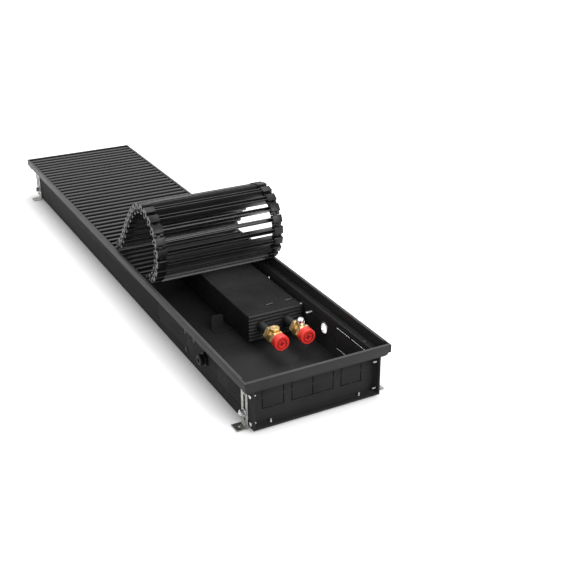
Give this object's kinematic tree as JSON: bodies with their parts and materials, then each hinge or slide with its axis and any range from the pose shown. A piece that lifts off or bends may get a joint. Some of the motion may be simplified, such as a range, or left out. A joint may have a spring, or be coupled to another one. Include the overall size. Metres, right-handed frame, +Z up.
{
  "type": "trench convector heater",
  "caption": "Sheet-steel floor trench heater with a roll-up slatted grille, partly rolled back over the valves.",
  "frame": {"origin": "on the floor, under the middle of the rim frame", "axes": "+Y along the trench away from the valves, +X to the right seen from the valve end, +Z up"},
  "size_m": [0.2686, 1.222, 0.2371],
  "materials": {
    "casing": "fine black-grey powder coat",
    "rim": "satin anthracite powder coat",
    "slat": "satin anthracite powder coat",
    "link": "black moulded plastic",
    "exchanger": "thin matt black coat",
    "brass": "machined and brushed brass",
    "chrome": "polished plating",
    "red_plastic": "moulded, semi-gloss",
    "black_plastic": "moulded",
    "bright_zinc": "bright zinc plating",
    "dark_zinc": "dark zinc plating",
    "foot_steel": "galvanised sheet"
  },
  "bodies": {
    "root": {"casing_tray": "casing", "front_end_panel": "casing", "rear_end_panel": "casing", "rim_left": "rim", "rim_right": "rim", "rim_front": "rim", "rim_rear": "rim", "rim_screws": "dark_zinc", "end_panel_screws": "bright_zinc", "floor_plate": "casing", "side_bolts": "bright_zinc", "exchanger_fins": "exchanger", "exchanger_end_plates": "exchanger", "exchanger_clips": "bright_zinc", "exchanger_brackets": "casing", "supply_pipe": "exchanger", "return_pipe": "exchanger", "return_bend": "exchanger", "valve_left": "brass", "valve_right": "brass", "pipe_nuts": "brass", "air_vent": "chrome", "cable_gland": "black_plastic", "gland_locknut": "black_plastic", "wall_grommet": "black_plastic", "foot_studs": "bright_zinc", "foot_washers": "bright_zinc", "foot_nuts": "bright_zinc"},
    "grille_flat": {"grille_slats": "slat", "grille_links": "link"},
    "roll_01": {"slat_01": "slat"},
    "roll_02": {"slat_02": "slat"},
    "roll_03": {"slat_03": "slat"},
    "roll_04": {"slat_04": "slat"},
    "roll_05": {"slat_05": "slat"},
    "roll_06": {"slat_06": "slat"},
    "roll_07": {"slat_07": "slat"},
    "roll_08": {"slat_08": "slat"},
    "roll_09": {"slat_09": "slat"},
    "roll_10": {"slat_10": "slat"},
    "roll_11": {"slat_11": "slat"},
    "roll_12": {"slat_12": "slat"},
    "roll_13": {"slat_13": "slat"},
    "roll_14": {"slat_14": "slat"},
    "roll_15": {"slat_15": "slat"},
    "roll_16": {"slat_16": "slat"},
    "roll_17": {"slat_17": "slat"},
    "roll_18": {"slat_18": "slat"},
    "roll_19": {"slat_19": "slat"},
    "roll_20": {"slat_20": "slat"},
    "roll_21": {"slat_21": "slat"},
    "roll_22": {"slat_22": "slat"},
    "foot_front_left_body": {"foot_front_left": "foot_steel"},
    "foot_front_right_body": {"foot_front_right": "foot_steel"},
    "foot_rear_left_body": {"foot_rear_left": "foot_steel"},
    "foot_rear_right_body": {"foot_rear_right": "foot_steel"},
    "cap_left_body": {"cap_left": "red_plastic"},
    "cap_right_body": {"cap_right": "red_plastic"},
    "spindle_cap_body": {"spindle_cap": "brass"},
    "vent_screw_body": {"vent_screw": "chrome"}
  },
  "joints": [
    {"name": "grille_lift", "type": "slide", "parent": "root", "child": "grille_flat", "axis": [0, 0, 1], "range_m": [0, 0.06]},
    {"name": "roll_01", "type": "hinge", "parent": "grille_flat", "child": "roll_01", "pos_m": [0, -0.16745, 0.085], "axis": [1, 0, 0], "range_deg": [0, 12]},
    {"name": "roll_02", "type": "hinge", "parent": "roll_01", "child": "roll_02", "pos_m": [0, -0.18672, 0.0891], "axis": [1, 0, 0], "range_deg": [0, 11]},
    {"name": "roll_03", "type": "hinge", "parent": "roll_02", "child": "roll_03", "pos_m": [0, -0.20485, 0.09679], "axis": [1, 0, 0], "range_deg": [0, 10]},
    {"name": "roll_04", "type": "hinge", "parent": "roll_03", "child": "roll_04", "pos_m": [0, -0.22137, 0.10752], "axis": [1, 0, 0], "range_deg": [0, 11]},
    {"name": "roll_05", "type": "hinge", "parent": "roll_04", "child": "roll_05", "pos_m": [0, -0.23555, 0.12121], "axis": [1, 0, 0], "range_deg": [0, 15]},
    {"name": "roll_06", "type": "hinge", "parent": "roll_05", "child": "roll_06", "pos_m": [0, -0.24569, 0.13809], "axis": [1, 0, 0], "range_deg": [0, 18]},
    {"name": "roll_07", "type": "hinge", "parent": "roll_06", "child": "roll_07", "pos_m": [0, -0.25012, 0.15729], "axis": [1, 0, 0], "range_deg": [0, 17]},
    {"name": "roll_08", "type": "hinge", "parent": "roll_07", "child": "roll_08", "pos_m": [0, -0.24875, 0.17694], "axis": [1, 0, 0], "range_deg": [0, 16]},
    {"name": "roll_09", "type": "hinge", "parent": "roll_08", "child": "roll_09", "pos_m": [0, -0.24201, 0.19545], "axis": [1, 0, 0], "range_deg": [0, 16]},
    {"name": "roll_10", "type": "hinge", "parent": "roll_09", "child": "roll_10", "pos_m": [0, -0.23043, 0.21139], "axis": [1, 0, 0], "range_deg": [0, 18]},
    {"name": "roll_11", "type": "hinge", "parent": "roll_10", "child": "roll_11", "pos_m": [0, -0.21449, 0.22297], "axis": [1, 0, 0], "range_deg": [0, 19]},
    {"name": "roll_12", "type": "hinge", "parent": "roll_11", "child": "roll_12", "pos_m": [0, -0.19566, 0.22873], "axis": [1, 0, 0], "range_deg": [0, 19]},
    {"name": "roll_13", "type": "hinge", "parent": "roll_12", "child": "roll_13", "pos_m": [0, -0.17597, 0.22804], "axis": [1, 0, 0], "range_deg": [0, 18]},
    {"name": "roll_14", "type": "hinge", "parent": "roll_13", "child": "roll_14", "pos_m": [0, -0.15746, 0.2213], "axis": [1, 0, 0], "range_deg": [0, 13.22]},
    {"name": "roll_15", "type": "hinge", "parent": "roll_14", "child": "roll_15", "pos_m": [0, -0.14097, 0.21051], "axis": [1, 0, 0], "range_deg": [0, 8]},
    {"name": "roll_16", "type": "hinge", "parent": "roll_15", "child": "roll_16", "pos_m": [0, -0.12616, 0.19753], "axis": [1, 0, 0], "range_deg": [0, 5]},
    {"name": "roll_17", "type": "hinge", "parent": "roll_16", "child": "roll_17", "pos_m": [0, -0.11253, 0.18331], "axis": [1, 0, 0], "range_deg": [0, 3]},
    {"name": "roll_18", "type": "hinge", "parent": "roll_17", "child": "roll_18", "pos_m": [0, -0.09966, 0.16839], "axis": [1, 0, 0], "range_deg": [0, 2]},
    {"name": "roll_19", "type": "hinge", "parent": "roll_18", "child": "roll_19", "pos_m": [0, -0.08732, 0.15304], "axis": [1, 0, 0], "range_deg": [0, 1]},
    {"name": "roll_20", "type": "hinge", "parent": "roll_19", "child": "roll_20", "pos_m": [0, -0.07525, 0.13747], "axis": [1, 0, 0], "range_deg": [-3, 0]},
    {"name": "roll_21", "type": "hinge", "parent": "roll_20", "child": "roll_21", "pos_m": [0, -0.06238, 0.12255], "axis": [1, 0, 0], "range_deg": [-8, 0]},
    {"name": "roll_22", "type": "hinge", "parent": "roll_21", "child": "roll_22", "pos_m": [0, -0.04756, 0.10957], "axis": [1, 0, 0], "range_deg": [-14, 0]},
    {"name": "foot_front_left_slide", "type": "slide", "parent": "root", "child": "foot_front_left_body", "axis": [0, 0, -1], "range_m": [0, 0.028]},
    {"name": "foot_front_right_slide", "type": "slide", "parent": "root", "child": "foot_front_right_body", "axis": [0, 0, -1], "range_m": [0, 0.028]},
    {"name": "foot_rear_left_slide", "type": "slide", "parent": "root", "child": "foot_rear_left_body", "axis": [0, 0, -1], "range_m": [0, 0.028]},
    {"name": "foot_rear_right_slide", "type": "slide", "parent": "root", "child": "foot_rear_right_body", "axis": [0, 0, -1], "range_m": [0, 0.028]},
    {"name": "cap_left_turn", "type": "hinge", "parent": "root", "child": "cap_left_body", "pos_m": [0.023, -0.4355, 0.043], "axis": [0, 1, 0], "continuous": true},
    {"name": "cap_right_turn", "type": "hinge", "parent": "root", "child": "cap_right_body", "pos_m": [0.074, -0.4355, 0.043], "axis": [0, 1, 0], "continuous": true},
    {"name": "spindle_cap_turn", "type": "hinge", "parent": "root", "child": "spindle_cap_body", "pos_m": [0.023, -0.414, 0.05685], "axis": [0, 0, 1], "continuous": true},
    {"name": "vent_screw_turn", "type": "hinge", "parent": "root", "child": "vent_screw_body", "pos_m": [0.074, -0.414, 0.06605], "axis": [0, 0, 1], "range_deg": [0, 360]}
  ],
  "couplings": [
    {"joint": "roll_20", "follows": "roll_01", "ratio": -0.25},
    {"joint": "roll_21", "follows": "roll_01", "ratio": -0.66667},
    {"joint": "roll_22", "follows": "roll_01", "ratio": -1.1667}
  ]
}
